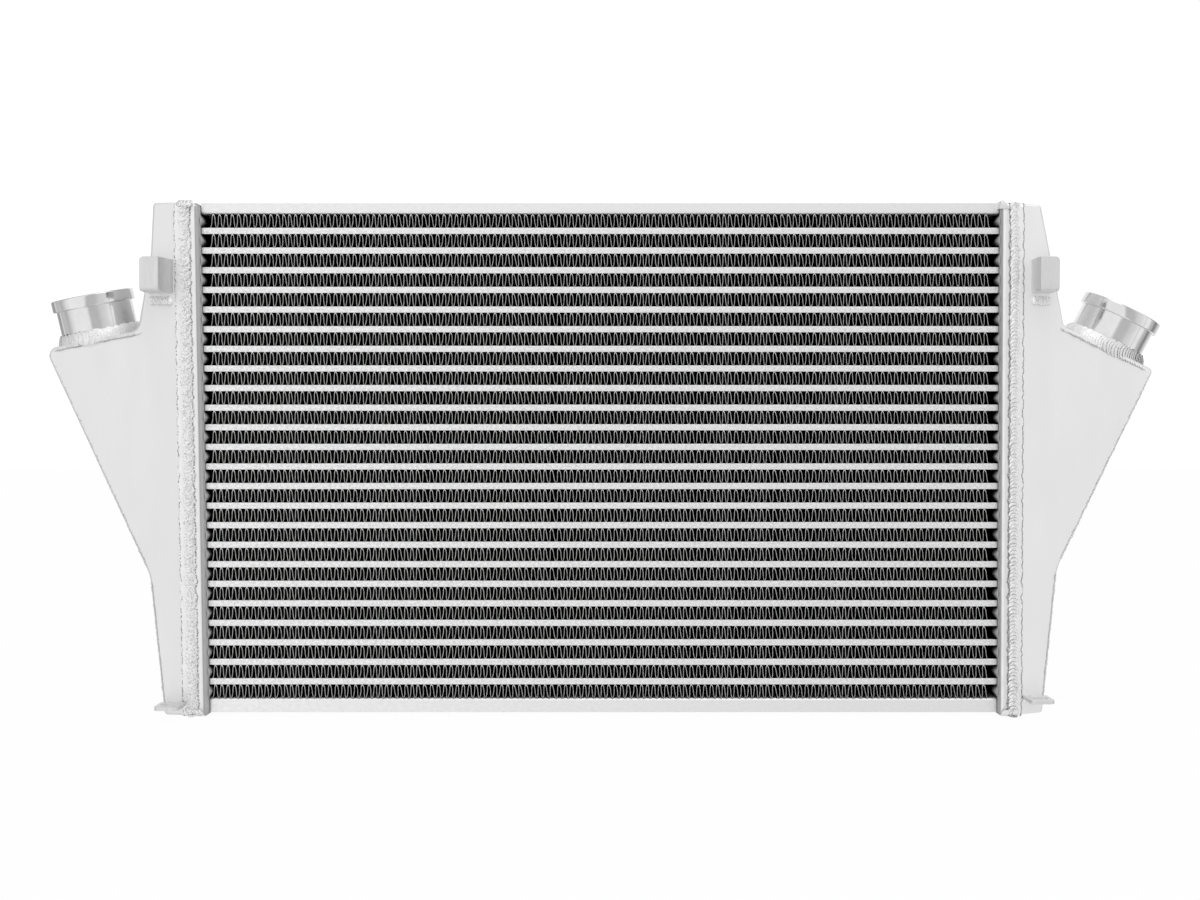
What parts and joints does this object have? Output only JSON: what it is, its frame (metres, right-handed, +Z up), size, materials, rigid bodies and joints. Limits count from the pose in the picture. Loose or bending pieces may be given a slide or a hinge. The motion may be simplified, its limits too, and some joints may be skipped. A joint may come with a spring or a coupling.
{
  "type": "intercooler",
  "caption": "Front-mount air-to-air charge cooler: flat tubes and folded air fins between two welded sheet-metal end tanks, each with a hose neck on top and brackets in front.",
  "frame": {"origin": "On the surface that the cooler stands on, midway between the two headers and in the middle of the footprint from the front brackets to the back of the seam weld.", "axes": "+X runs along the core to the right as seen from the bracket side, +Y goes to the back with the cooling air, +Z is up. The brackets point to -Y and the hose necks to +Z."},
  "size_m": [0.8521, 0.0884, 0.39],
  "materials": {
    "tube": "bright rolled aluminium, brazed",
    "fin": "thin folded aluminium sheet, brazed",
    "side_plate": "folded aluminium sheet, satin",
    "header": "pressed aluminium sheet, brazed and dull",
    "tank": "brushed aluminium sheet, satin",
    "neck": "turned aluminium, bright",
    "weld": "aluminium weld bead, rippled",
    "bracket": "folded aluminium plate, satin"
  },
  "bodies": {
    "root": {"tube_01": "tube", "tube_02": "tube", "tube_03": "tube", "tube_04": "tube", "tube_05": "tube", "tube_06": "tube", "tube_07": "tube", "tube_08": "tube", "tube_09": "tube", "tube_10": "tube", "tube_11": "tube", "tube_12": "tube", "tube_13": "tube", "tube_14": "tube", "tube_15": "tube", "tube_16": "tube", "tube_17": "tube", "tube_18": "tube", "tube_19": "tube", "tube_20": "tube", "tube_21": "tube", "tube_22": "tube", "tube_23": "tube", "tube_24": "tube", "air_fins_1": "fin", "air_fins_2": "fin", "air_fins_3": "fin", "air_fins_4": "fin", "air_fins_5": "fin", "side_plate_top": "side_plate", "side_plate_bottom": "side_plate", "header_left": "header", "tank_left": "tank", "neck_left": "neck", "neck_weld_left": "weld", "seam_weld_left": "weld", "upper_bracket_left": "bracket", "upper_bracket_weld_left": "weld", "lower_tab_left": "bracket", "lower_tab_weld_left": "weld", "header_right": "header", "tank_right": "tank", "neck_right": "neck", "neck_weld_right": "weld", "seam_weld_right": "weld", "upper_bracket_right": "bracket", "upper_bracket_weld_right": "weld", "lower_tab_right": "bracket", "lower_tab_weld_right": "weld"}
  },
  "joints": []
}
